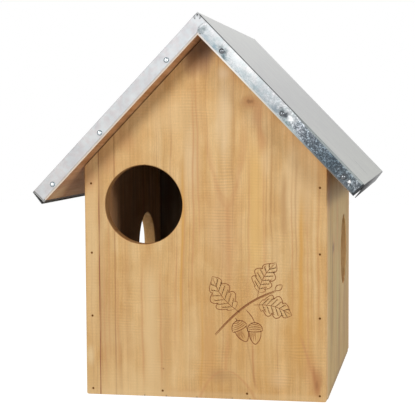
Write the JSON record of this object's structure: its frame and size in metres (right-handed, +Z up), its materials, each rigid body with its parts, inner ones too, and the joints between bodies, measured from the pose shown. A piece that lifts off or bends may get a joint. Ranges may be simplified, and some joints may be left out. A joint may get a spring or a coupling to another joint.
{
  "type": "squirrel house",
  "caption": "Nailed softwood squirrel house with round entrances in its front and sides, and a zinc-covered gable roof hinged along the left wall as a lid.",
  "frame": {"origin": "middle of the underside of the box, on the surface that it stands on", "axes": "+Z up; the front panel with its entrance faces -Y; +X is to the right as seen from the front"},
  "size_m": [0.3356, 0.3772, 0.3898],
  "materials": {
    "panel_wood": "honey-coloured planed softwood, edge-glued staves with upright grain",
    "side_wood": "planed softwood, upright grain",
    "roof_wood": "planed softwood, darker in the shade of the roof",
    "zinc": "galvanised sheet with a fine spangle, matt on the slopes",
    "brad_steel": "dull brown-grey brad heads set just below the wood",
    "galvanised_nails": "domed galvanised heads",
    "hinge_steel": "zinc-plated steel with a pale yellow passivation"
  },
  "bodies": {
    "house": {"front_panel": "panel_wood", "back_panel": "panel_wood", "left_side": "side_wood", "right_side": "side_wood", "floor": "side_wood", "front_panel_brads": "brad_steel", "back_panel_brads": "brad_steel", "front_hinge_wall_leaf": "hinge_steel", "front_hinge_pin": "hinge_steel", "rear_hinge_wall_leaf": "hinge_steel", "rear_hinge_pin": "hinge_steel", "hinge_wall_screws": "hinge_steel"},
    "roof": {"left_roof_board": "roof_wood", "right_roof_board": "roof_wood", "zinc_cover": "zinc", "ridge_brads": "brad_steel", "front_flange_nails": "galvanised_nails", "back_flange_nails": "galvanised_nails", "front_hinge_roof_leaf": "hinge_steel", "rear_hinge_roof_leaf": "hinge_steel", "hinge_roof_screws": "hinge_steel"}
  },
  "joints": [
    {"name": "roof_hinge", "type": "hinge", "parent": "house", "child": "roof", "pos_m": [-0.128, 0, 0.23058], "axis": [0, -1, 0], "range_deg": [0, 45]}
  ]
}
